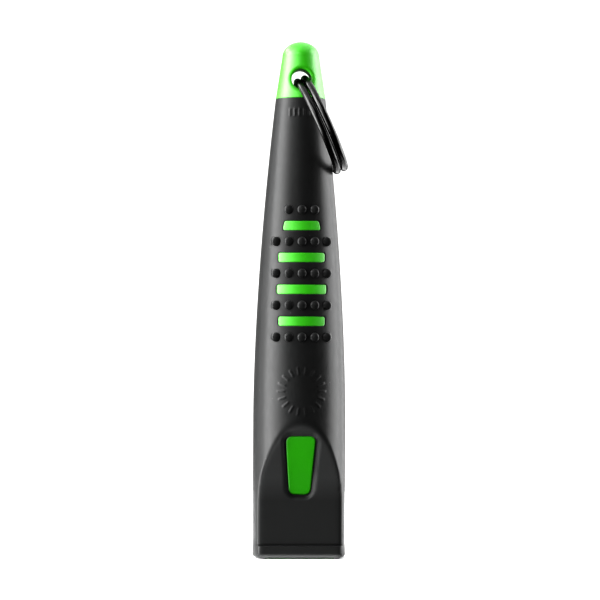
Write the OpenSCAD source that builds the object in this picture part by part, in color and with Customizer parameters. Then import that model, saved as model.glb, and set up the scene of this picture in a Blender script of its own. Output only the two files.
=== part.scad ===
// Pealess dog whistle: a rigid two-part core inside a soft moulded grip, with a split ring.
// Z runs along the whistle, from the mouth end at z = 0 to the lanyard tip.
// The grip's front is towards -Y and the sound window is towards +Y.

/* [Body] */
// Overall length, from the mouth end to the top of the tip
length = 85; // [80:1:95]
// Radius of the straight lower body
body_r = 7.6; // [7:0.1:8.5]
// Height at which the taper towards the tip starts
taper_start = 23; // [22:1:28]
// Radius lost over the whole taper
taper_drop = 3.55; // [3:0.05:3.8]
// How quickly the taper steepens
taper_power = 1.7; // [1.4:0.1:2]
// Height at which the grip ends and the bare tip starts
tip_start = 75.6; // [75:0.1:77]

/* [Mouthpiece] */
// Half the thickness of the flattened mouthpiece
mouth_half = 3.25; // [3:0.05:3.6]
// Slope of the flat faces towards the round body
face_slope = 0.42; // [0.38:0.01:0.5]
// Height at which the sloping face would meet the flat one
face_knee = 11.85; // [11:0.05:13]
// Radius that blends the flat face into the sloping one
face_blend_r = 15; // [10:1:20]
// Height of the bite lip's upper edge
lip_top = 2.3; // [1.5:0.1:3]
// How far the bite lip stands out of the flat faces
lip_rise = 0.45; // [0.3:0.05:0.8]
// How far the bite lip stands out at the sides
lip_flare = 0.08; // [0.05:0.01:0.2]

/* [Grip] */
// Thickness of the sleeve on the round body
sleeve_wall = 1.1; // [0.8:0.1:1.3]
// Thickness of the sleeve on the flat faces
face_wall = 0.8; // [0.6:0.1:0.9]
// Height of the lowest row of nubs
nub_low = 36.4; // [35:0.1:38]
// Distance between rows of nubs, and between bars
row_pitch = 5.2; // [4.8:0.05:5.6]
// Distance between nubs in a row, measured across the front
nub_pitch = 2.08; // [1.9:0.02:2.2]
// Radius of a nub where it leaves the surface
nub_r = 0.76; // [0.6:0.02:0.9]
// How far a nub stands out
nub_rise = 0.42; // [0.3:0.02:0.6]
// Height of a green bar
bar_h = 1.6; // [1.2:0.1:2]

/* [Windows] */
// Lower edge of the front panel and of the sound window
window_low = 10.5; // [10:0.1:11]
// Upper edge of both
window_high = 20.3; // [19:0.1:20.6]
// Half width of both at the lower edge
window_low_half = 1.8; // [1.5:0.05:2]
// Half width of both at the upper edge
window_high_half = 2.55; // [2.2:0.05:2.7]
// Radius of their corners
window_corner = 1; // [0.6:0.1:1.2]
// Width of the shallow recess around both
recess_w = 0.8; // [0.5:0.05:1]
// Depth of that recess in the flat faces
recess_depth = 0.4; // [0.2:0.05:0.5]
// How far the front panel lies below the flat face
panel_sink = 0.3; // [0.1:0.05:0.4]

/* [Sound] */
// Height of the windway
windway_h = 1; // [0.8:0.1:1.2]
// Half width of the windway at the mouth end
windway_in_half = 4; // [3:0.1:4.2]
// Half width of the windway where it meets the sound window
windway_out_half = 2.1; // [1.6:0.1:2.4]
// Height of the sharp edge that splits the air
edge_z = 13.2; // [12.5:0.1:14]
// Radius of the round chamber
chamber_r = 4.3; // [4:0.1:4.6]
// Height of the stopper's lower face, which ends the chamber
stopper_z = 28; // [24:0.5:34]
// Thickness of the stopper
stopper_h = 4; // [3:0.5:6]

/* [Lanyard] */
// Height of the lanyard hole
hole_z = 78.7; // [78.5:0.1:79.2]
// Radius of the lanyard hole
hole_r = 1.65; // [1.6:0.05:1.7]
// Radius that rounds the mouths of the hole
hole_round = 0.8; // [0.6:0.1:0.9]
// Diameter of the ring's wire
wire_d = 1.2; // [1:0.05:1.2]
// Radius of the ring at the middle of its wire
ring_r = 8; // [7.5:0.1:9]
// Distance between the ring's two turns
turn_pitch = 1.28; // [1.24:0.01:1.3]
// How far the ring's centre hangs below the hole
ring_drop = 8.05; // [8:0.05:8.15]
// Angle at which the ring rests against the flank
ring_rest = 24.5; // [24.5:0.5:40]

/* [Hidden] */
$fn = 64;
eps = 0.01;
big = 40;
green = "limegreen";
black = "#26282a";
taper_span = 53;
taper_steps = 22;
blend_steps = 8;
faces_top = 24;
core_proud = 0.2;
neck_lap = 1;
lip_lap = 1.3;
nub_root = 1;
// Least that a nub stands clear of the surface at its inner side
nub_clear = 0.15;
corner_steps = 6;
tip_slope = 0.152;
dome_h = 2.5;
dome_z = length - dome_h;
tip_r = grip_r(tip_start);
dome_r = tip_r - tip_slope * (dome_z - tip_start);
core_mouth_half = 5.7;
core_side_z = 9;
core_side_top = 16;
bore_half = 4.7;
bore_wall = 0.95;
bore_low_y = -(mouth_half - face_wall - bore_wall);
windway_top = mouth_half - face_wall - bore_wall;
windway_floor = windway_top - windway_h;
edge_drop = 0.45;
edge_y = windway_top - edge_drop;
ramp_back_z = edge_z + 9;
chamber_blend_z = 20;
void_top = 67;
void_top_r = 2.3;
void_taper_z = 44;
bar_half = [3.8, 4.05, 3.8, 3.15];
bar_taper = [0, 0, 0, 0.35];
bar_corner = 0.4;
nub_counts = [5, 5, 5, 5, 3];
nub_ball = (nub_r * nub_r + nub_rise * nub_rise) / (2 * nub_rise);
lip_corner = 0.9;
lip_round = 1;
ring_steps = 68;
ring_sides = 10;
ring_joggle = 40;
ring_end_gap = 3;
ring_first = 90 + ring_joggle / 2 + ring_end_gap;
ring_last = 810 - ring_joggle / 2 - ring_end_gap;

// Outer radius of the grip at height z
function grip_r(z) = body_r - taper_drop * pow(max(0, (z - taper_start) / taper_span), taper_power);

// Half the thickness between the flat faces at height z: flat, then a blend, then a slope
function face_angle() = atan(face_slope);
function blend_low() = face_knee - face_blend_r * tan(face_angle() / 2);
function blend_high() = blend_low() + face_blend_r * sin(face_angle());
function face_half(z) =
    z < blend_low() ? mouth_half :
    z < blend_high() ? mouth_half + face_blend_r - sqrt(pow(face_blend_r, 2) - pow(z - blend_low(), 2)) :
    mouth_half + face_slope * (z - face_knee);

// Unit vector along v, and the points of the polygon p with every corner rounded to radius r
function unit(v) = v / norm(v);
function corner_arc(a, b, c, r) =
    let (
        u = unit(a - b),
        v = unit(c - b),
        half = acos(u * v) / 2,
        centre = b + unit(u + v) * r / sin(half),
        from = b + u * r / tan(half) - centre,
        turn = 180 - 2 * half,
        side = cross(u, v) > 0 ? -1 : 1
    )
    [for (i = [0:corner_steps])
        let (t = side * turn * i / corner_steps)
        centre + [from[0] * cos(t) - from[1] * sin(t), from[0] * sin(t) + from[1] * cos(t)]];
function rounded(p, r) =
    [for (i = [0:len(p) - 1]) each corner_arc(p[(i + len(p) - 1) % len(p)], p[i], p[(i + 1) % len(p)], r)];

// Outline of both windows, grown outwards by g
function window_outline(g) = rounded([
    [-window_low_half - g, window_low - g],
    [window_low_half + g, window_low - g],
    [window_high_half + g, window_high + g],
    [-window_high_half - g, window_high + g]], window_corner + g);

// Turns an outline drawn in X and Z into a prism along Y, between y0 and y1
module along_y(y0, y1) {
    translate([0, y1, 0])
        rotate([90, 0, 0])
            linear_extrude(y1 - y0)
                children();
}

// Turns an outline drawn in Y and Z into a prism along X, of half width h
module along_x(h) {
    rotate([90, 0, 90])
        translate([0, 0, -h])
            linear_extrude(2 * h)
                children();
}

// Round grip without its flat faces, shrunk by wall, from height low up to the bare tip.
// A lap carries its last radius on, up into the tip.
module round_body(wall, low, lap) {
    steps = [for (i = [0:taper_steps]) taper_start + (tip_start - taper_start) * i / taper_steps];
    rotate_extrude()
        polygon(concat(
            [[0, low], [body_r - wall, low]],
            [for (z = steps) [grip_r(z) - wall, z]],
            lap > 0 ? [[tip_r - wall, tip_start + lap]] : [],
            [[0, tip_start + lap]]));
}

// Everything between the flat faces, moved in by wall
module between_faces(wall) {
    blend = [for (i = [0:blend_steps]) blend_low() + (blend_high() - blend_low()) * i / blend_steps];
    heights = concat([-1], blend, [faces_top]);
    side = [for (z = heights) [face_half(z) - wall, z]];
    wide = [[big, faces_top], [big, length]];
    points = concat(side, wide);
    along_x(big)
        polygon(concat(points, [for (i = [len(points) - 1:-1:0]) [-points[i][0], points[i][1]]]));
}

// Bare tip above the grip: a slight taper under an elliptical dome
module tip() {
    rotate_extrude()
        polygon(concat(
            [[0, tip_start], [tip_r, tip_start]],
            [for (a = [0:10:80]) [dome_r * cos(a), dome_z + dome_h * sin(a)]],
            [[0, length]]));
}

// Lanyard hole with rounded mouths, along Y
module lanyard_hole() {
    mouth_y = 3.45;
    flare = hole_r + hole_round;
    translate([0, 0, hole_z])
        rotate([90, 0, 0])
            rotate_extrude()
                polygon(concat(
                    [[0, -big], [flare, -big]],
                    [for (a = [0:15:90]) [flare - hole_round * sin(a), -mouth_y + hole_round * (1 - cos(a))]],
                    [for (a = [90:-15:0]) [flare - hole_round * sin(a), mouth_y - hole_round * (1 - cos(a))]],
                    [[flare, big], [0, big]]));
}

// Outline of bar number i, counted from the lowest
module bar_outline(i) {
    z = nub_low + row_pitch * (i + 0.5);
    low = bar_half[i];
    high = bar_half[i] - bar_taper[i];
    polygon(rounded([
        [-low, z - bar_h / 2],
        [low, z - bar_h / 2],
        [high, z + bar_h / 2],
        [-high, z + bar_h / 2]], bar_corner));
}

// Core without its hollows, holes and windows, which is also what the sleeve is moulded around
module core_outside() {
    intersection() {
        round_body(sleeve_wall, 0, neck_lap);
        between_faces(face_wall);
        along_y(-big, big)
            polygon([
                [-core_mouth_half, -1], [core_mouth_half, -1],
                [core_mouth_half, core_side_z], [body_r, core_side_top],
                [body_r, big * 2], [-body_r, big * 2],
                [-body_r, core_side_top], [-core_mouth_half, core_side_z]]);
    }
    tip();
    intersection() {
        round_body(0, 0, 0);
        along_y(-big, big)
            for (i = [0:len(bar_half) - 1])
                bar_outline(i);
    }
    intersection() {
        round_body(0, 0, 0);
        between_faces(panel_sink);
        along_y(-big, big)
            polygon(window_outline(0));
    }
}

// Rectangular bore at the mouth end, which the windway block fills
module mouth_bore() {
    translate([-bore_half, bore_low_y, -1])
        cube([2 * bore_half, windway_top - bore_low_y, window_low + 1]);
}

// Chamber and the hollow above the stopper
module chamber() {
    intersection() {
        rotate_extrude()
            polygon([
                [0, window_low], [bore_half, window_low], [chamber_r, window_low + 3],
                [chamber_r, void_taper_z], [void_top_r, void_top - void_top_r], [0, void_top]]);
        along_x(big)
            polygon([
                [bore_low_y, window_low], [edge_y, window_low], [edge_y, edge_z],
                [chamber_r, ramp_back_z], [big, ramp_back_z], [big, big * 2], [-big, big * 2],
                [-big, chamber_blend_z], [-chamber_r, chamber_blend_z]]);
    }
}

// Air passage from the windway's end out through the window, under the ramp that ends in the sharp edge
module sound_window() {
    intersection() {
        along_y(0, big)
            polygon(window_outline(0));
        along_x(big)
            polygon([
                [windway_floor, window_low - 1], [windway_floor, edge_z], [edge_y, edge_z],
                [face_half(window_high) - panel_sink + eps, window_high], [big, window_high + 1],
                [big, window_low - 1]]);
    }
}

module core() {
    difference() {
        core_outside();
        lanyard_hole();
        mouth_bore();
        chamber();
        sound_window();
    }
}

module half_space(side) {
    translate([-big, side < 0 ? -big : 0, -big])
        cube([2 * big, big, 4 * big]);
}

module core_front() {
    color(green)
        intersection() {
            core();
            half_space(-1);
        }
}

module core_rear() {
    color(green)
        intersection() {
            core();
            half_space(1);
        }
}

// Block that fills the mouth bore: its channel is the windway
module windway_block() {
    color(green)
        difference() {
            translate([-bore_half, bore_low_y, 0])
                cube([2 * bore_half, windway_top - bore_low_y, window_low]);
            along_y(windway_floor, big)
                polygon([
                    [-windway_in_half, -1], [windway_in_half, -1],
                    [windway_out_half, window_low + 1], [-windway_out_half, window_low + 1]]);
        }
}

module chamber_stopper() {
    color(green)
        translate([0, 0, stopper_z])
            cylinder(r = chamber_r, h = stopper_h);
}

// Nub along +Z: a short stem, sunk into the grip, under a spherical cap that starts at height lift
module nub(lift) {
    rim = asin(nub_r / nub_ball);
    rotate_extrude($fn = 32)
        polygon(concat(
            [[0, -nub_root], [nub_r, -nub_root]],
            [for (i = [0:5])
                let (a = rim * (1 - i / 6))
                [nub_ball * sin(a), lift + nub_rise - nub_ball * (1 - cos(a))]],
            [[0, lift + nub_rise]]));
}

// One row of nubs that all point along -Y, so that the mould can open
module nub_row(z, count) {
    for (i = [0:count - 1])
        let (x = (i - (count - 1) / 2) * nub_pitch)
        let (root = sqrt(pow(grip_r(z), 2) - pow(x, 2)))
        let (inner = sqrt(pow(grip_r(z), 2) - pow(max(abs(x) - nub_r, 0), 2)))
        translate([x, -root, z])
            rotate([90, 0, 0])
                nub(max(0, inner + nub_clear - root - nub_rise));
}

// Lip that teeth or lips hold, across both flat faces
module lip() {
    depth = mouth_half + lip_rise;
    side = body_r + lip_flare;
    over = lip_top + 3;
    intersection() {
        cylinder(r = side, h = lip_top, $fn = 96);
        along_y(-depth, depth)
            polygon(rounded([
                [-side, core_proud], [side, core_proud],
                [side, over], [-side, over]], lip_corner));
        along_x(big)
            polygon(rounded([
                [-depth, core_proud], [depth, core_proud],
                [depth, over], [-depth, over]], lip_round));
    }
}

module sleeve_outside() {
    intersection() {
        round_body(0, lip_lap, 0);
        between_faces(0);
    }
    lip();
    for (side = [0, 180])
        rotate(side)
            for (row = [0:len(nub_counts) - 1])
                nub_row(nub_low + row_pitch * row, nub_counts[row]);
}

// Shallow recess round both windows
module recess() {
    difference() {
        along_y(-big, big)
            polygon(window_outline(recess_w));
        between_faces(recess_depth);
    }
}

module grip_sleeve() {
    color(black)
        difference() {
            sleeve_outside();
            recess();
            core_outside();
            along_y(-big, big)
                polygon(window_outline(0));
        }
}

// Place of the ring's wire at angle a round the coil, which is 90 at the rear.
// The wire steps from one turn to the other at the rear, between its two cut ends.
function smooth(t) = t * t * (3 - 2 * t);
function ring_offset(a) =
    turn_pitch * (smooth(min(1, max(0, (a - 450) / ring_joggle + 0.5))) - 0.5);
function ring_centre(a) = [ring_offset(a), ring_r * sin(a), -ring_r * cos(a)];
function ring_section(a) =
    [for (k = [0:ring_sides - 1])
        let (b = 360 * k / ring_sides)
        ring_centre(a) + wire_d / 2 * [cos(b), sin(b) * sin(a), -sin(b) * cos(a)]];

// Split ring, drawn hanging straight down from the hole and then swung to its rest
module split_ring() {
    stride = (ring_last - ring_first) / ring_steps;
    points = [for (i = [0:ring_steps]) each ring_section(ring_first + i * stride)];
    sides = [for (i = [0:ring_steps - 1], k = [0:ring_sides - 1])
        let (n = (k + 1) % ring_sides, here = i * ring_sides, next = here + ring_sides)
        [here + k, here + n, next + n, next + k]];
    start = [for (k = [ring_sides - 1:-1:0]) k];
    end = [for (k = [0:ring_sides - 1]) ring_steps * ring_sides + k];
    color("dimgray")
        translate([0, 0, hole_z])
            rotate([0, -ring_rest, 0])
                translate([0, 0, -ring_drop])
                    polyhedron(points, concat(sides, [start, end]));
}

core_front();
core_rear();
windway_block();
chamber_stopper();
grip_sleeve();
split_ring();
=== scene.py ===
"""Looks of the pealess dog whistle: its moulded shells, split ring, materials, floor, light, camera."""

import math

import bmesh
import bpy
import numpy as np
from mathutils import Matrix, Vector


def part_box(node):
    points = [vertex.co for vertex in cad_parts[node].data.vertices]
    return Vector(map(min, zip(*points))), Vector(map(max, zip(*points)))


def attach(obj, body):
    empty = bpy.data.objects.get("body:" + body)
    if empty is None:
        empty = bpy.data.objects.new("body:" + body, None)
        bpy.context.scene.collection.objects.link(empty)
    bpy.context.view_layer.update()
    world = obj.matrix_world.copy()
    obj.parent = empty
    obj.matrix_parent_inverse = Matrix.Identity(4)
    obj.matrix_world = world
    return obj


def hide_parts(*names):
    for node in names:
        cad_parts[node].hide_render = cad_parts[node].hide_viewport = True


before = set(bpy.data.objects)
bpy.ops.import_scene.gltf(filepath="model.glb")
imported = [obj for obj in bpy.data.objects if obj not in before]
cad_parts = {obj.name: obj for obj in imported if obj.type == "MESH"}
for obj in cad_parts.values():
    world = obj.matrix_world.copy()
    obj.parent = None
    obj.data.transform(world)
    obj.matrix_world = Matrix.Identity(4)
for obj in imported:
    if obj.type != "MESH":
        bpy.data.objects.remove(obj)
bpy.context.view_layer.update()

# ---------------------------------------------------------------- sizes, in millimetres
MM = 0.001

sleeve_low, sleeve_high = (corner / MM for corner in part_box("grip_sleeve"))
core_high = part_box("core_front")[1] / MM

LENGTH = core_high.z
LIP_FLARE = 0.08
BODY_R = sleeve_high.x - LIP_FLARE
TIP_START = sleeve_high.z
SLEEVE_LOW = sleeve_low.z
TAPER_START = 23.0
TAPER_SPAN = 53.0
TAPER_DROP = 3.55
TAPER_POWER = 1.7

MOUTH_HALF = 3.25
FACE_SLOPE = 0.42
FACE_KNEE = 11.85
FACE_BLEND_R = 15.0
EDGE_SOFTNESS = 0.55

LIP_LOW = SLEEVE_LOW - 0.07
LIP_TOP = 2.15
LIP_RISE = 0.45
LIP_ROUND = 0.85
LIP_SIDE_ROUND = 0.6
LIP_FADE = 0.7
LIP_STEP = 0.05
LIP_GROOVE = 0.1
# Painted reflection on the lip's lower edge: heights over which it fades, and how much weaker it is at
# the sides.
LIP_REFLECTION_LOW = 0.1
LIP_REFLECTION_HIGH = 1.0
LIP_REFLECTION_SIDE_DROP = 0.85

SLEEVE_WALL = 1.1
FACE_WALL = 0.8
CORE_MOUTH_HALF = 5.7
CORE_SIDE_LOW = 9.0
CORE_SIDE_HIGH = 16.0

NUB_LOW = 36.4
ROW_PITCH = 5.2
NUB_PITCH = 2.08
NUB_R = 0.76
NUB_RISE = 0.42
NUB_CLEAR = 0.15
NUB_SHOULDER = 0.36
NUB_CROWN = 0.06
NUB_ROOT = 0.9
NUB_COUNTS = (5, 5, 5, 5, 3)
NUB_COLUMNS = 24

BAR_H = 1.6
BAR_CORNER = 0.4
BAR_LOW_HALF = (3.8, 4.05, 3.8, 3.15)
BAR_HIGH_HALF = (3.8, 4.05, 3.8, 2.8)
BAR_EDGE = 0.09
BAR_SINK = 0.02
BAR_COUNT = len(BAR_LOW_HALF)

WINDOW_LOW = 10.5
WINDOW_HIGH = 20.3
WINDOW_LOW_HALF = 1.8
WINDOW_HIGH_HALF = 2.55
WINDOW_CORNER = 1.0
WINDOW_EDGE = 0.12
RECESS_FLOOR_W = 0.2
RECESS_W = 0.9
RECESS_DEPTH = 0.42
PANEL_SINK = 0.3
PANEL_EDGE = 0.28
PANEL_BOW = 0.2
GAP = 0.03
BOSS_MARGIN = 0.3
BOSS_UNDERSIDE = -1.6
BAR_CUT_START = 3.0

TICK_RING_Z = 27.6
TICK_RING_R = 3.35
TICK_COUNT = 18
TICK_LENGTH = 1.3
TICK_WIDTH = 0.3
TICK_RISE = 0.075
TICK_ROW_Z = 73.2
TICK_ROW_HALF = 2.3
TICK_ROW_COUNT = 6

TIP_SLOPE = 0.152
DOME_H = 2.5
TIP_FOOT = 0.12
HOLE_Z = 78.7
HOLE_R = 1.65
HOLE_ROUND = 0.75
HOLE_OVERLAP = 0.03

BORE_HALF = 4.7
BORE_WALL = 0.95
WINDWAY_H = 1.0
EDGE_Z = 13.2
EDGE_DROP = 0.45
EDGE_RAMP = 9.0
CHAMBER_R = 4.3
CHAMBER_FLARE = 3.0
CHAMBER_FRONT_LOW = 20.0
CHAMBER_NARROWS = 44.0
CHAMBER_TOP = 67.0
CHAMBER_TOP_R = 2.3
POINT_R = 0.05
# Half the gap between the two halves of the core.
SEAM = 0.005

WIRE_D = 1.2
WIRE_END_CHAMFER = 0.06
RING_R = 8.0
TURN_PITCH = 1.28
RING_DROP = 8.05
RING_REST = math.radians(24.5)
RING_JOGGLE = math.radians(22.0)
RING_END_GAP = math.radians(3.0)
RING_POINTS = 421
WIRE_COLUMNS = 28

# Cutters reach past what they cut by MARGIN, or all the way to FAR. MIN_SHARE keeps divisors from zero.
FAR = 40.0
MARGIN = 1.0
MIN_SHARE = 1e-3
ROUND_COLUMNS = 96

# ---------------------------------------------------------------- stage, in metres and degrees
AIM = Vector((0.00004, 0.0, 0.04246))
CAMERA_DISTANCE = 0.5
CAMERA_AZIMUTH = -2.9
CAMERA_ROLL = 0.25
VIEW_HEIGHT = 0.09897
SENSOR_WIDTH = 36.0

# Upright softboxes round the object: azimuth from the front, angle that each spans, and radiance.
# Those on the left join into one sheet that fades towards the front.
SIDE_LIGHTS = (
    (-148.0, 40.0, 0.3), (-114.0, 28.0, 2.0), (-85.0, 30.0, 13.0), (-62.0, 16.0, 8.5),
    (-47.0, 14.0, 3.2), (-31.0, 18.0, 0.6), (-12.0, 20.0, 0.2), (62.0, 30.0, 0.3),
    (97.0, 40.0, 7.8), (132.0, 30.0, 2.8), (160.0, 26.0, 0.5))
# Lights above: name, azimuth, elevation, distance, width, height and radiance.
HIGH_LIGHTS = (
    ("top_light", 180.0, 80.0, 0.7, 1.3, 1.1, 1.5),
    ("top_left_light", -75.0, 55.0, 0.8, 0.6, 0.4, 2.0),
    ("high_rear_light", -128.0, 34.0, 0.8, 0.5, 0.26, 6.0),
    ("high_front_light", -28.0, 32.0, 0.8, 0.36, 0.26, 4.5))
ROOM_GLOW = 0.02
FLOOR_R = 0.09
FLOOR_FRONT = 0.0046
SOFTBOX_DISTANCE = 0.8
SOFTBOX_ELEVATION = 5.0
SOFTBOX_HEIGHT = 1.2


# ---------------------------------------------------------------- shape rules
def smoothstep(low, high, value):
    t = np.clip((value - low) / (high - low), 0.0, 1.0)
    return t * t * (3.0 - 2.0 * t)


def soft_min(a, b, softness):
    """The smaller of a and b, with a rounded change from one to the other."""
    h = np.clip(0.5 + 0.5 * (b - a) / softness, 0.0, 1.0)
    return b * (1.0 - h) + a * h - softness * h * (1.0 - h)


def round_over(distance, radius):
    """How far a surface has dropped at a distance inside its rounded edge."""
    t = np.clip(radius - distance, 0.0, radius)
    return radius - np.sqrt(radius * radius - t * t)


def grip_radius(z):
    """Radius of the round body: level, then a taper that quickens towards the tip."""
    return BODY_R - TAPER_DROP * np.maximum(0.0, (z - TAPER_START) / TAPER_SPAN) ** TAPER_POWER


def face_half(z):
    """Half the distance between the flat faces: level, then a blend, then a slope."""
    angle = math.atan(FACE_SLOPE)
    low = FACE_KNEE - FACE_BLEND_R * math.tan(angle / 2.0)
    high = low + FACE_BLEND_R * math.sin(angle)
    run = np.clip(z - low, 0.0, high - low)
    blend = MOUTH_HALF + FACE_BLEND_R - np.sqrt(FACE_BLEND_R ** 2 - run ** 2)
    return np.where(z < high, blend, MOUTH_HALF + FACE_SLOPE * (z - FACE_KNEE))


def quad_distance(x, z, low, high, low_half, high_half, corner):
    """Distance from (x, z) to an upright trapezoid with rounded corners: negative inside."""
    side = np.array([high - low, low_half - high_half])
    side = side / np.linalg.norm(side)
    across = (np.abs(x) - low_half) * side[0] + (z - low) * side[1]
    up = np.abs(z - (low + high) / 2.0) - (high - low) / 2.0
    a = across + corner
    b = up + corner
    outside = np.hypot(np.maximum(a, 0.0), np.maximum(b, 0.0))
    return outside + np.minimum(np.maximum(a, b), 0.0) - corner


def window_distance(x, z):
    return quad_distance(
        x, z, WINDOW_LOW, WINDOW_HIGH, WINDOW_LOW_HALF, WINDOW_HIGH_HALF, WINDOW_CORNER)


def bar_height(i):
    """Height of the middle of a bar, halfway between two rows of nubs."""
    return NUB_LOW + ROW_PITCH * (i + 0.5)


def bar_distance(i, x, z):
    low, high = bar_height(i) - BAR_H / 2.0, bar_height(i) + BAR_H / 2.0
    return quad_distance(x, z, low, high, BAR_LOW_HALF[i], BAR_HIGH_HALF[i], BAR_CORNER)


def tick_relief(x, z):
    """Plain raised ticks where the mould is marked: a ring of them, and a short row near the tip."""
    reach = np.hypot(x, z - TICK_RING_Z)
    sector = 2.0 * math.pi / TICK_COUNT
    turn = np.mod(np.arctan2(x, z - TICK_RING_Z), sector) - sector / 2.0
    ring = tick_shape(reach * np.sin(turn), reach - TICK_RING_R)
    pitch = 2.0 * TICK_ROW_HALF / TICK_ROW_COUNT
    across = np.mod(x, pitch) - pitch / 2.0
    row = np.where(np.abs(x) < TICK_ROW_HALF, tick_shape(across, z - TICK_ROW_Z), 0.0)
    return TICK_RISE * np.maximum(ring, row)


def tick_shape(across, along):
    """1 on a tick and 0 off it, with soft edges."""
    half_width, half_length = TICK_WIDTH / 2.0, TICK_LENGTH / 2.0
    side = 1.0 - smoothstep(half_width - 0.06, half_width + 0.08, np.abs(across))
    return side * (1.0 - smoothstep(half_length - 0.2, half_length + 0.12, np.abs(along)))


def grip_surface(theta, z):
    """Outer radius of the soft grip, with its flat faces, lip, recesses and rounded window edges."""
    across = np.maximum(np.abs(np.sin(theta)), MIN_SHARE)
    depth = face_half(z)
    lip = MOUTH_HALF + LIP_RISE - depth
    in_lip = 1.0 - smoothstep(LIP_TOP - LIP_STEP / 2.0, LIP_TOP + LIP_STEP / 2.0, z)
    groove = np.maximum(0.0, LIP_GROOVE - np.abs(z - LIP_TOP - LIP_GROOVE))
    flare = LIP_FLARE * (1.0 - smoothstep(LIP_TOP - LIP_FADE, LIP_TOP + LIP_FADE, z))
    depth = depth + lip * in_lip - groove - round_over(z - LIP_LOW, LIP_ROUND)
    radius = grip_radius(z) + flare - round_over(z - LIP_LOW, LIP_SIDE_ROUND)
    surface = soft_min(radius, depth / across, EDGE_SOFTNESS)
    x = surface * np.cos(theta)
    away = window_distance(x, z)
    recess = RECESS_DEPTH * (1.0 - smoothstep(RECESS_FLOOR_W, RECESS_W, away))
    sunk = (face_half(z) - recess) / across
    surface = np.where(away < RECESS_W, np.minimum(surface, sunk), surface)
    surface = surface - round_over(np.maximum(window_distance(x, z), 0.0), WINDOW_EDGE)
    for i in range(BAR_COUNT):
        surface = surface - round_over(np.maximum(bar_distance(i, x, z), 0.0), BAR_EDGE)
    return surface + np.where(np.sin(theta) < 0.0, tick_relief(x, z), 0.0)


def core_surface(theta, z):
    """Outer radius of the core under the grip."""
    across = np.maximum(np.abs(np.sin(theta)), MIN_SHARE)
    along = np.maximum(np.abs(np.cos(theta)), MIN_SHARE)
    side = np.interp(z, (CORE_SIDE_LOW, CORE_SIDE_HIGH), (CORE_MOUTH_HALF, BODY_R))
    surface = np.minimum(grip_radius(z) - SLEEVE_WALL, (face_half(z) - FACE_WALL) / across)
    return np.minimum(surface, side / along)


def tip_surface(theta, z):
    """Outer radius of the bare tip, dished round the lanyard hole."""
    tip_r = grip_radius(np.array(TIP_START))
    dome_z = LENGTH - DOME_H
    dome_r = tip_r - TIP_SLOPE * (dome_z - TIP_START)
    taper = tip_r - TIP_SLOPE * (np.minimum(z, dome_z) - TIP_START)
    rise = np.clip((z - dome_z) / DOME_H, 0.0, 1.0)
    radius = np.where(z > dome_z, dome_r * np.sqrt(1.0 - rise ** 2), taper)
    radius = radius - round_over(z - TIP_START, TIP_FOOT)
    reach = np.hypot(radius * np.cos(theta), z - HOLE_Z)
    return radius - round_over(np.maximum(reach - HOLE_R + HOLE_OVERLAP, 0.0), HOLE_ROUND)


# ---------------------------------------------------------------- mesh building
def spread(*stops):
    """Rising values through stops of (value, step after it); the last stop's step isn't used."""
    values = []
    for (low, step), (high, _) in zip(stops[:-1], stops[1:]):
        count = max(1, int(round((high - low) / step)))
        values.extend(low + (high - low) * i / count for i in range(count))
    values.append(stops[-1][0])
    return np.array(values)


def make_object(name, points, faces):
    """A mesh object from points in millimetres."""
    mesh = bpy.data.meshes.new(name)
    mesh.from_pydata((np.asarray(points, float) * MM).tolist(), [], faces)
    mesh.validate()
    obj = bpy.data.objects.new(name, mesh)
    bpy.context.scene.collection.objects.link(obj)
    return obj


def closed_tubes(name, tubes):
    """Closed solids with flat ends, each through rings of points: an array of rings x columns x 3."""
    points, faces, first = [], [], 0
    for rings in tubes:
        count, columns, _ = rings.shape
        for i in range(count - 1):
            here = first + i * columns
            above = here + columns
            for k in range(columns):
                n = (k + 1) % columns
                faces.append((here + k, here + n, above + n, above + k))
        faces.append(tuple(range(first + columns - 1, first - 1, -1)))
        last = first + (count - 1) * columns
        faces.append(tuple(range(last, last + columns)))
        points.append(rings.reshape(-1, 3))
        first += count * columns
    return make_object(name, np.concatenate(points), faces)


def closed_tube(name, rings):
    return closed_tubes(name, [rings])


def full_turn(columns):
    return np.linspace(0.0, 2.0 * math.pi, columns, endpoint=False)


def upright_rings(theta, z, surface):
    """Rings of points round the Z axis, at the radius that the surface rule gives."""
    turn, height = np.meshgrid(theta, z)
    radius = surface(turn, height)
    return np.stack([radius * np.cos(turn), radius * np.sin(turn), height], axis=-1)


def rounded_outline(corners, radius, steps=10):
    """Points of a convex outline, given anticlockwise, with each corner rounded."""
    points = []
    for i, b in enumerate(corners):
        b = np.array(b)
        u = np.array(corners[i - 1]) - b
        v = np.array(corners[(i + 1) % len(corners)]) - b
        u = u / np.linalg.norm(u)
        v = v / np.linalg.norm(v)
        half = math.acos(float(u @ v)) / 2.0
        centre = b + (u + v) / np.linalg.norm(u + v) * radius / math.sin(half)
        start = b + u * radius / math.tan(half) - centre
        for k in range(steps + 1):
            a = (math.pi - 2.0 * half) * k / steps
            points.append(centre + [
                start[0] * math.cos(a) - start[1] * math.sin(a),
                start[0] * math.sin(a) + start[1] * math.cos(a)])
    return np.array(points)


def trapezoid(low, high, low_half, high_half, corner, inset):
    """Outline of an upright trapezoid with rounded corners, drawn in by an inset."""
    return rounded_outline([
        (-low_half + inset, low + inset), (low_half - inset, low + inset),
        (high_half - inset, high - inset), (-high_half + inset, high - inset)], corner - inset)


def window_outline(inset):
    return trapezoid(
        WINDOW_LOW, WINDOW_HIGH, WINDOW_LOW_HALF, WINDOW_HIGH_HALF, WINDOW_CORNER, inset)


def bar_outline(i, inset):
    low, high = bar_height(i) - BAR_H / 2.0, bar_height(i) + BAR_H / 2.0
    return trapezoid(low, high, BAR_LOW_HALF[i], BAR_HIGH_HALF[i], BAR_CORNER, inset)


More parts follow.
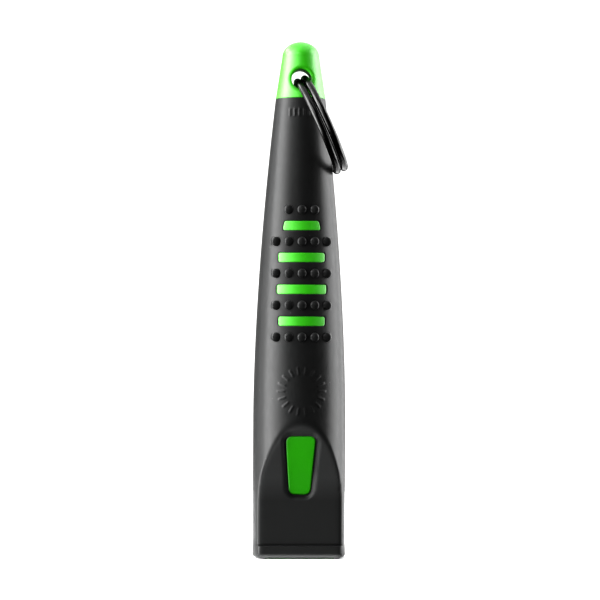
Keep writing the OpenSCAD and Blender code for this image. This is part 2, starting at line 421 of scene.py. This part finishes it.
def prism_along_y(name, outline, y0, y1):
    rings = np.array([[(x, y, z) for x, z in outline] for y in (max(y0, y1), min(y0, y1))])
    return closed_tube(name, rings)


def prism_along_x(name, outline, half):
    rings = np.array([[(x, y, z) for y, z in outline] for x in (-half, half)])
    return closed_tube(name, rings)


def combine(obj, others, operation):
    """Applies one boolean after another to obj, and deletes the solids that it used."""
    for other in others:
        modifier = obj.modifiers.new("boolean", "BOOLEAN")
        modifier.operation = operation
        modifier.solver = "MANIFOLD"
        modifier.object = other
        bpy.context.view_layer.update()
        result = bpy.data.meshes.new_from_object(
            obj.evaluated_get(bpy.context.evaluated_depsgraph_get()))
        obj.modifiers.clear()
        old = obj.data
        obj.data = result
        bpy.data.meshes.remove(old)
        bpy.data.objects.remove(other)
    return obj


def shade(obj, sharp_degrees=50.0):
    """Smooth shading that keeps true edges sharp."""
    obj.data.shade_smooth()
    obj.data.set_sharp_from_angle(angle=math.radians(sharp_degrees))


# ---------------------------------------------------------------- pieces
def column_angles():
    """Columns round the whistle, close together on the front and rear grip."""
    degree = math.radians(1.0)
    quarter = spread(
        (0.0, 2.5 * degree), (30.0 * degree, 1.6 * degree), (54.0 * degree, degree),
        (90.0 * degree, 1.0))
    half = np.concatenate([quarter, math.pi - quarter[-2::-1]])
    return np.concatenate([half, math.pi + half[1:-1]])


def nub_rings(x, z, side):
    """Rings of one nub: a pin along Y with a rounded shoulder and a slight crown, clear of the grip."""
    turns = full_turn(NUB_COLUMNS)
    radius_here = float(grip_radius(np.array(z)))
    root = math.sqrt(radius_here ** 2 - x * x)
    inner_root = math.sqrt(radius_here ** 2 - max(abs(x) - NUB_R, 0.0) ** 2)
    top = max(NUB_RISE, inner_root + NUB_CLEAR - root) - NUB_CROWN
    profile = [(NUB_R + 0.05, -NUB_ROOT), (NUB_R, top - NUB_SHOULDER)]
    for a in np.radians([15.0, 30.0, 45.0, 60.0, 75.0, 90.0]):
        radius = NUB_R - NUB_SHOULDER * (1.0 - math.cos(a))
        profile.append((radius, top - NUB_SHOULDER * (1.0 - math.sin(a))))
    flat_r = NUB_R - NUB_SHOULDER
    for share in (0.8, 0.6, 0.4, 0.2, 0.05):
        profile.append((share * flat_r, top + NUB_CROWN * (1.0 - share ** 2)))
    return np.array([
        [(x + radius * math.cos(t), side * (root + height), z - side * radius * math.sin(t))
         for t in turns]
        for radius, height in profile])


def grip_nubs():
    """Rows of nubs on the front and the rear."""
    tubes = []
    for side in (-1.0, 1.0):
        for row, count in enumerate(NUB_COUNTS):
            z = NUB_LOW + ROW_PITCH * row
            for i in range(count):
                tubes.append(nub_rings((i - (count - 1) / 2.0) * NUB_PITCH, z, side))
    return closed_tubes("nubs", tubes)


def mark_grip(mesh):
    """Stores how far each point takes two painted reflections: on the flat faces, which it makes a
    little greyer than the rest, and on the lip's lower edge, which it makes pale, palest along the flat
    faces."""
    points = np.zeros(len(mesh.vertices) * 3, np.float32)
    mesh.vertices.foreach_get("co", points)
    x, y, z = points.reshape(-1, 3).T / MM
    # Painted reflection on the flat faces below the taper, fading out round the window recess.
    inside = 1.0 - smoothstep(BODY_R - 0.3, BODY_R - 0.05, np.hypot(x, y))
    low_down = 1.0 - smoothstep(TAPER_START - 0.4, TAPER_START + 0.4, z)
    level = smoothstep(0.4 * RECESS_W, RECESS_W, window_distance(x, z))
    level = np.maximum(level, smoothstep(WINDOW_HIGH - 1.0, WINDOW_HIGH, z))
    near_side = smoothstep(0.75 * BODY_R, 0.95 * BODY_R, np.abs(x))
    # Painted reflection along the lip's lower edge, weaker towards the sides.
    lip_reflection = (1.0 - smoothstep(LIP_REFLECTION_LOW, LIP_REFLECTION_HIGH, z)) * (1.0 - LIP_REFLECTION_SIDE_DROP * near_side)
    for name, marks in (("painted_face_reflection", inside * low_down * level), ("painted_lip_reflection", lip_reflection)):
        stored = mesh.attributes.new(name, "FLOAT", "POINT").data
        stored.foreach_set("value", marks.astype(np.float32))


def grip_levels():
    """Heights of the grip's rings of points, close together where its surface has small detail."""
    ring_reach = TICK_RING_R + 0.9
    row_reach = 0.85
    bar_reach = 1.1
    stops = [
        (LIP_LOW, 0.08), (LIP_LOW + LIP_ROUND, 0.2), (LIP_TOP - LIP_STEP, 0.0125),
        (LIP_TOP + LIP_STEP, 0.025), (LIP_TOP + 2.0 * LIP_GROOVE, 0.4),
        (WINDOW_LOW - RECESS_W - 0.3, 0.13), (WINDOW_HIGH + RECESS_W + 0.2, 0.4),
        (TICK_RING_Z - ring_reach, 0.13), (TICK_RING_Z + ring_reach, 0.7)]
    for i in range(BAR_COUNT):
        stops += [(bar_height(i) - bar_reach, 0.12), (bar_height(i) + bar_reach, 0.6)]
    stops += [(TICK_ROW_Z - row_reach, 0.13), (TICK_ROW_Z + row_reach, 0.5), (TIP_START, 1.0)]
    return spread(*stops)


def make_grip():
    """Soft grip: the moulded outside, hollowed where the core and its windows are."""
    grip = closed_tube("grip_skin", upright_rings(column_angles(), grip_levels(), grip_surface))
    combine(grip, [grip_nubs()], "UNION")
    levels = spread((-MARGIN, 1.0), (CORE_SIDE_HIGH, 2.0), (TIP_START + MARGIN, 1.0))
    cutters = [closed_tube("core_space", upright_rings(full_turn(120), levels, core_surface))]
    for side in (-1.0, 1.0):
        cutters.append(prism_along_y("window_space", window_outline(0.0), side * MARGIN, side * FAR))
        for i in range(BAR_COUNT):
            outline = bar_outline(i, 0.0)
            cutters.append(prism_along_y("bar_space", outline, side * BAR_CUT_START, side * FAR))
    combine(grip, cutters, "DIFFERENCE")
    shade(grip)
    mark_grip(grip.data)
    return grip


def boss(name, outline, distance, depth_rule, edge, step):
    """Raised boss on the front of the core: a patch at the depth that the rule gives, with rounded
    edges and a level underside, cut to its outline."""
    low, high = outline.min(axis=0) - BOSS_MARGIN, outline.max(axis=0) + BOSS_MARGIN
    xs = spread((low[0], step), (high[0], step))
    zs = spread((low[1], step), (high[1], step))
    x, z = np.meshgrid(xs, zs)
    y = -(depth_rule(x, z) - round_over(np.maximum(-distance(x, z), 0.0), edge))
    rows, columns = x.shape
    top = np.stack([x, y, z], axis=-1).reshape(-1, 3)
    base = top.copy()
    base[:, 1] = BOSS_UNDERSIDE
    cells = rows * columns
    faces = []
    for i in range(rows - 1):
        for k in range(columns - 1):
            a, b = i * columns + k, i * columns + k + 1
            c, d = b + columns, a + columns
            faces.append((a, b, c, d))
            faces.append((d + cells, c + cells, b + cells, a + cells))
    border = list(range(columns))
    border += [i * columns + columns - 1 for i in range(1, rows)]
    border += [(rows - 1) * columns + k for k in range(columns - 2, -1, -1)]
    border += [i * columns for i in range(rows - 2, 0, -1)]
    for here, following in zip(border, border[1:] + border[:1]):
        faces.append((following, here, here + cells, following + cells))
    patch = make_object(name, np.concatenate([top, base]), faces)
    return combine(patch, [prism_along_y("boss_sides", outline, -FAR, -MARGIN)], "INTERSECT")


def round_depth(x, z):
    """The bars follow the round body, a little below the grip."""
    return np.sqrt(np.maximum(grip_radius(z) ** 2 - x ** 2, 0.01)) - BAR_SINK


def panel_depth(x, z):
    """The panel is sunk below the flat face and bows back a little at its two ends."""
    middle = (WINDOW_LOW + WINDOW_HIGH) / 2.0
    bow = ((z - middle) / (WINDOW_HIGH - middle)) ** 4
    return face_half(z) - PANEL_SINK - PANEL_BOW * bow


def core_bosses():
    """The panel and the bars of the front."""
    bosses = [boss("panel", window_outline(GAP), window_distance, panel_depth, PANEL_EDGE, 0.1)]
    for i in range(BAR_COUNT):
        bosses.append(boss(
            "bar", bar_outline(i, GAP), lambda x, z, i=i: bar_distance(i, x, z), round_depth,
            BAR_EDGE, 0.09))
    return bosses


def mirrored(obj):
    """A copy of obj turned half round the Z axis, for the rear."""
    copy = bpy.data.objects.new(obj.name, obj.data.copy())
    bpy.context.scene.collection.objects.link(copy)
    points = np.zeros(len(copy.data.vertices) * 3, np.float32)
    copy.data.vertices.foreach_get("co", points)
    points = points.reshape(-1, 3) * np.array([-1.0, -1.0, 1.0], np.float32)
    copy.data.vertices.foreach_set("co", points.ravel())
    return copy


def sound_space():
    """Hollows that the core needs to sound: mouth bore, chamber and the cut to the sharp edge."""
    top = MOUTH_HALF - FACE_WALL - BORE_WALL
    edge_y = top - EDGE_DROP
    mouth = [
        (-BORE_HALF, -MARGIN), (BORE_HALF, -MARGIN), (BORE_HALF, WINDOW_LOW), (-BORE_HALF, WINDOW_LOW)]
    bore = prism_along_y("bore", mouth, -top, top)
    heights = np.array(
        [WINDOW_LOW, WINDOW_LOW + CHAMBER_FLARE, CHAMBER_NARROWS, CHAMBER_TOP - CHAMBER_TOP_R,
         CHAMBER_TOP])
    radii = np.array([BORE_HALF, CHAMBER_R, CHAMBER_R, CHAMBER_TOP_R, POINT_R])
    chamber = closed_tube("chamber", upright_rings(
        full_turn(ROUND_COLUMNS), heights, lambda turn, z: np.interp(z, heights, radii)))
    shape = [
        (-top, WINDOW_LOW), (edge_y, WINDOW_LOW), (edge_y, EDGE_Z), (CHAMBER_R, EDGE_Z + EDGE_RAMP),
        (CHAMBER_R, LENGTH), (-CHAMBER_R, LENGTH), (-CHAMBER_R, CHAMBER_FRONT_LOW)]
    combine(chamber, [prism_along_x("chamber_sides", shape, FAR)], "INTERSECT")
    face_y = float(face_half(np.array(WINDOW_HIGH))) - PANEL_SINK
    ramp = [
        (top - WINDWAY_H, WINDOW_LOW - MARGIN), (FAR, WINDOW_LOW - MARGIN), (FAR, WINDOW_HIGH + MARGIN),
        (face_y, WINDOW_HIGH), (edge_y, EDGE_Z), (top - WINDWAY_H, EDGE_Z)]
    window = prism_along_x("window", ramp, FAR)
    combine(window, [prism_along_y("window_sides", window_outline(GAP), 0.0, FAR)], "INTERSECT")
    return [bore, chamber, window]


def lanyard_hole():
    turns = full_turn(ROUND_COLUMNS)
    outline = np.stack([HOLE_R * np.cos(turns), HOLE_Z + HOLE_R * np.sin(turns)], axis=-1)
    return prism_along_y("hole", outline, -FAR, FAR)


def make_core():
    """Rigid core with its bare tip, as two half shells that meet on the middle plane."""
    theta = column_angles()
    under = upright_rings(theta, spread((0.0, 1.0), (TIP_START, 1.0)), core_surface)
    dome_z = LENGTH - DOME_H
    dome = dome_z + DOME_H * np.sin(np.radians(spread((3.0, 3.0), (87.0, 1.0), (89.4, 1.0))))
    tip_z = np.concatenate([
        spread((TIP_START, 0.03), (TIP_START + TIP_FOOT, 0.1), (dome_z, 1.0)), dome])
    tip = upright_rings(theta, tip_z, tip_surface)
    core = closed_tube("core", np.concatenate([under, tip]))
    bosses = core_bosses()
    combine(core, [mirrored(piece) for piece in bosses] + bosses, "UNION")
    combine(core, sound_space() + [lanyard_hole()], "DIFFERENCE")
    middle_plane = [
        (-FAR, -MARGIN), (FAR, -MARGIN), (FAR, LENGTH + MARGIN), (-FAR, LENGTH + MARGIN)]
    halves = []
    for name, side in (("core_front_shell", -1.0), ("core_rear_shell", 1.0)):
        half = bpy.data.objects.new(name, core.data.copy())
        bpy.context.scene.collection.objects.link(half)
        half_space = prism_along_y("half_space", middle_plane, side * SEAM, side * FAR)
        combine(half, [half_space], "INTERSECT")
        shade(half)
        halves.append(half)
    bpy.data.objects.remove(core)
    return halves


def make_ring():
    """Split ring: close to two turns of wire, with a step between the turns and two cut ends."""
    first = math.pi / 2.0 + RING_JOGGLE / 2.0 + RING_END_GAP
    last = 4.5 * math.pi - RING_JOGGLE / 2.0 - RING_END_GAP
    a = np.linspace(first, last, RING_POINTS)
    step = smoothstep(-0.5, 0.5, (a - 2.5 * math.pi) / RING_JOGGLE)
    centre = np.stack([TURN_PITCH * (step - 0.5), RING_R * np.sin(a), -RING_R * np.cos(a)], axis=-1)
    b = full_turn(WIRE_COLUMNS)
    rings = np.array([
        [centre[i] + WIRE_D / 2.0 * np.array([
            math.cos(t), math.sin(t) * math.sin(angle), -math.sin(t) * math.cos(angle)]) for t in b]
        for i, angle in enumerate(a)])
    for end in (0, -1):
        rings[end] = centre[end] + (rings[end] - centre[end]) * (1.0 - WIRE_END_CHAMFER)
    c, s = math.cos(RING_REST), math.sin(RING_REST)
    local = rings - np.array([0.0, 0.0, RING_DROP])
    placed = np.stack([
        local[..., 0] * c - local[..., 2] * s,
        local[..., 1],
        local[..., 0] * s + local[..., 2] * c + HOLE_Z], axis=-1)
    ring = closed_tube("ring_wire", placed)
    shade(ring)
    return ring


# ---------------------------------------------------------------- materials
def new_material(name):
    material = bpy.data.materials.new(name)
    material.use_nodes = True
    nodes = material.node_tree.nodes
    return material, nodes, material.node_tree.links, nodes["Principled BSDF"]


def add_noise(nodes, links, scale, detail, vector=None):
    """Noise with a scale in cells per metre."""
    node = nodes.new("ShaderNodeTexNoise")
    node.inputs["Scale"].default_value = scale
    node.inputs["Detail"].default_value = detail
    if vector is not None:
        links.new(vector, node.inputs["Vector"])
    return node


def map_range(nodes, links, value, low, high, to_low, to_high):
    node = nodes.new("ShaderNodeMapRange")
    node.inputs["From Min"].default_value = low
    node.inputs["From Max"].default_value = high
    node.inputs["To Min"].default_value = to_low
    node.inputs["To Max"].default_value = to_high
    links.new(value, node.inputs["Value"])
    return node.outputs["Result"]


def mix_colour(nodes, links, factor, a, b):
    """Mixes two colours, each a fixed colour or another node's output."""
    node = nodes.new("ShaderNodeMix")
    node.data_type = "RGBA"
    for name, colour in (("A", a), ("B", b)):
        if isinstance(colour, tuple):
            node.inputs[name].default_value = colour
        else:
            links.new(colour, node.inputs[name])
    links.new(factor, node.inputs["Factor"])
    return node.outputs["Result"]


def add_bump(nodes, links, height, distance, strength):
    node = nodes.new("ShaderNodeBump")
    node.inputs["Distance"].default_value = distance
    node.inputs["Strength"].default_value = strength
    links.new(height, node.inputs["Height"])
    return node.outputs["Normal"]


def object_coordinates(nodes):
    return nodes.new("ShaderNodeTexCoord").outputs["Object"]


def stored_mark(nodes, name):
    node = nodes.new("ShaderNodeAttribute")
    node.attribute_name = name
    return node.outputs["Fac"]


def shade_of_grey(value):
    return (value, value * 1.02, value * 1.015, 1.0)


def rubber_material():
    """Black soft grip: fine grain, a mottled sheen, a few pale specks, and painted reflections that
    make the flat faces greyer, paler where they slope, and the lip's lower edge pale."""
    material, nodes, links, shader = new_material("soft_grip_black")
    place = object_coordinates(nodes)
    grain = add_noise(nodes, links, scale=5500.0, detail=3.0, vector=place)
    drift = add_noise(nodes, links, scale=140.0, detail=3.0, vector=place)
    specks = nodes.new("ShaderNodeTexVoronoi")
    specks.inputs["Scale"].default_value = 420.0
    links.new(place, specks.inputs["Vector"])
    stretched = nodes.new("ShaderNodeVectorMath")
    stretched.operation = "MULTIPLY"
    stretched.inputs[1].default_value = (1.0, 1.0, 0.5)
    links.new(place, stretched.inputs[0])
    mottle = add_noise(nodes, links, scale=1700.0, detail=2.0, vector=stretched.outputs["Vector"])
    split = nodes.new("ShaderNodeSeparateXYZ")
    links.new(place, split.inputs["Vector"])
    height = split.outputs["Z"]
    # Marks for the painted reflections on the flat faces and on the lip's lower edge.
    face_reflection = stored_mark(nodes, "painted_face_reflection")
    lip_reflection = stored_mark(nodes, "painted_lip_reflection")
    tone = map_range(nodes, links, drift.outputs["Fac"], 0.3, 0.7, 0.0, 1.0)
    body = mix_colour(nodes, links, tone, shade_of_grey(0.012), shade_of_grey(0.015))
    # Painted reflection: the flat faces are greyer than the body, and paler higher up where they slope.
    slope = map_range(nodes, links, height, 9.5 * MM, 13.5 * MM, 0.0, 1.0)
    face = mix_colour(nodes, links, slope, shade_of_grey(0.023), shade_of_grey(0.045))
    base = mix_colour(nodes, links, face_reflection, body, face)
    # Painted reflection: the lower edge of the lip is pale grey.
    base = mix_colour(nodes, links, lip_reflection, base, shade_of_grey(0.22))
    speck = map_range(nodes, links, specks.outputs["Distance"], 0.03, 0.045, 1.0, 0.0)
    base = mix_colour(nodes, links, speck, base, shade_of_grey(0.05))
    links.new(base, shader.inputs["Base Color"])
    roughness = map_range(nodes, links, mottle.outputs["Fac"], 0.3, 0.7, 0.28, 0.38)
    links.new(roughness, shader.inputs["Roughness"])
    bump = add_bump(nodes, links, grain.outputs["Fac"], distance=0.00004, strength=0.3)
    links.new(bump, shader.inputs["Normal"])
    shader.inputs["Specular IOR Level"].default_value = 0.188
    return material


def green_material():
    """Bright green rigid plastic: satin gloss with a faint moulded ripple and a light sheen."""
    material, nodes, links, shader = new_material("core_green")
    place = object_coordinates(nodes)
    ripple = add_noise(nodes, links, scale=900.0, detail=2.0, vector=place)
    drift = add_noise(nodes, links, scale=110.0, detail=2.0, vector=place)
    tone = map_range(nodes, links, drift.outputs["Fac"], 0.3, 0.7, 0.0, 1.0)
    base = mix_colour(nodes, links, tone, (0.023, 0.272, 0.0003, 1.0), (0.028, 0.318, 0.0004, 1.0))
    links.new(base, shader.inputs["Base Color"])
    roughness = map_range(nodes, links, ripple.outputs["Fac"], 0.3, 0.7, 0.39, 0.45)
    links.new(roughness, shader.inputs["Roughness"])
    bump = add_bump(nodes, links, ripple.outputs["Fac"], distance=0.00003, strength=0.2)
    links.new(bump, shader.inputs["Normal"])
    shader.inputs["Specular IOR Level"].default_value = 0.7
    shader.inputs["Sheen Weight"].default_value = 0.25
    shader.inputs["Sheen Roughness"].default_value = 0.3
    return material


def ring_material():
    """Black nickel wire: dark polished metal with fine drawn marks."""
    material, nodes, links, shader = new_material("ring_black_nickel")
    place = object_coordinates(nodes)
    marks = add_noise(nodes, links, scale=2500.0, detail=3.0, vector=place)
    worn = add_noise(nodes, links, scale=350.0, detail=2.0, vector=place)
    tone = map_range(nodes, links, worn.outputs["Fac"], 0.35, 0.7, 0.0, 1.0)
    base = mix_colour(nodes, links, tone, (0.028, 0.028, 0.028, 1.0), (0.04, 0.04, 0.0395, 1.0))
    links.new(base, shader.inputs["Base Color"])
    roughness = map_range(nodes, links, marks.outputs["Fac"], 0.3, 0.7, 0.2, 0.27)
    links.new(roughness, shader.inputs["Roughness"])
    bump = add_bump(nodes, links, marks.outputs["Fac"], distance=0.00003, strength=0.3)
    links.new(bump, shader.inputs["Normal"])
    shader.inputs["Metallic"].default_value = 1.0
    return material


def floor_material():
    """Matt pale grey with faint flecks."""
    material, nodes, links, shader = new_material("pale_floor")
    fleck = add_noise(nodes, links, scale=30.0, detail=3.0)
    tone = map_range(nodes, links, fleck.outputs["Fac"], 0.3, 0.7, 0.0, 1.0)
    base = mix_colour(nodes, links, tone, (0.74, 0.74, 0.74, 1.0), (0.77, 0.77, 0.77, 1.0))
    links.new(base, shader.inputs["Base Color"])
    shader.inputs["Roughness"].default_value = 0.9
    shader.inputs["Specular IOR Level"].default_value = 0.1
    return material


def dress(obj, material):
    obj.data.materials.clear()
    obj.data.materials.append(material)


def assign_to_node(node, material):
    """Gives a CAD node its finish through its own material slots."""
    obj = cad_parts[node]
    for slot in obj.material_slots:
        slot.material = material


# ---------------------------------------------------------------- stage
def make_floor(material):
    """A round table top; the object stands close to its front edge."""
    disc = bmesh.new()
    bmesh.ops.create_circle(disc, cap_ends=True, segments=ROUND_COLUMNS, radius=FLOOR_R)
    mesh = bpy.data.meshes.new("floor")
    disc.to_mesh(mesh)
    disc.free()
    floor = bpy.data.objects.new("floor", mesh)
    floor.location = (0.0, FLOOR_R - FLOOR_FRONT, 0.0)
    bpy.context.scene.collection.objects.link(floor)
    dress(floor, material)


def make_world():
    """White behind the object, and a dim room for what it reflects."""
    world = bpy.data.worlds.new("studio")
    world.use_nodes = True
    nodes, links = world.node_tree.nodes, world.node_tree.links
    background = nodes["Background"]
    background.inputs["Color"].default_value = (1.0, 1.0, 1.0, 1.0)
    rays = nodes.new("ShaderNodeLightPath")
    strength = nodes.new("ShaderNodeMapRange")
    strength.inputs["To Min"].default_value = ROOM_GLOW
    strength.inputs["To Max"].default_value = 1.0
    links.new(rays.outputs["Is Camera Ray"], strength.inputs["Value"])
    links.new(strength.outputs["Result"], background.inputs["Strength"])
    bpy.context.scene.world = world


def add_area_light(name, azimuth, elevation, distance, width, height, radiance):
    """Area light that faces the middle of the object; azimuth 0 is in front, and 90 to the right."""
    light = bpy.data.lights.new(name, "AREA")
    light.shape = "RECTANGLE"
    light.size = width
    light.size_y = height
    light.energy = radiance * width * height * math.pi
    a, e = math.radians(azimuth), math.radians(elevation)
    away = Vector((math.sin(a) * math.cos(e), -math.cos(a) * math.cos(e), math.sin(e)))
    obj = bpy.data.objects.new(name, light)
    bpy.context.scene.collection.objects.link(obj)
    obj.location = AIM + away * distance
    obj.rotation_euler = (-away).to_track_quat("-Z", "Y").to_euler()
    obj.visible_camera = False


def add_softbox(azimuth, spread_angle, radiance):
    width = 2.0 * SOFTBOX_DISTANCE * math.tan(math.radians(spread_angle / 2.0))
    add_area_light(
        "softbox", azimuth, SOFTBOX_ELEVATION, SOFTBOX_DISTANCE, width, SOFTBOX_HEIGHT, radiance)


def make_camera():
    """Level camera a little to the left of the front, with a slight roll."""
    azimuth = math.radians(CAMERA_AZIMUTH)
    data = bpy.data.cameras.new("camera")
    data.sensor_width = SENSOR_WIDTH
    data.lens = data.sensor_width * CAMERA_DISTANCE / VIEW_HEIGHT
    data.clip_start = 0.01
    camera = bpy.data.objects.new("camera", data)
    bpy.context.scene.collection.objects.link(camera)
    away = Vector((math.sin(azimuth), -math.cos(azimuth), 0.0))
    camera.location = AIM + away * CAMERA_DISTANCE
    camera.rotation_euler = (-away).to_track_quat("-Z", "Y").to_euler()
    camera.rotation_euler.rotate_axis("Z", math.radians(CAMERA_ROLL))
    bpy.context.scene.camera = camera


# ---------------------------------------------------------------- build
make_camera()

rubber = rubber_material()
green = green_material()
nickel = ring_material()

grip = make_grip()
dress(grip, rubber)
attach(grip, "whistle")
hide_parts("grip_sleeve")

for shell, node in zip(make_core(), ("core_front", "core_rear")):
    dress(shell, green)
    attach(shell, "whistle")
    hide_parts(node)

ring = make_ring()
dress(ring, nickel)
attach(ring, "ring")
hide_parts("split_ring")

assign_to_node("windway_block", green)
assign_to_node("chamber_stopper", green)

make_floor(floor_material())
make_world()
for side_light in SIDE_LIGHTS:
    add_softbox(*side_light)
for high_light in HIGH_LIGHTS:
    add_area_light(*high_light)

bpy.context.scene.view_settings.view_transform = "Standard"
bpy.context.scene.view_settings.look = "High Contrast"
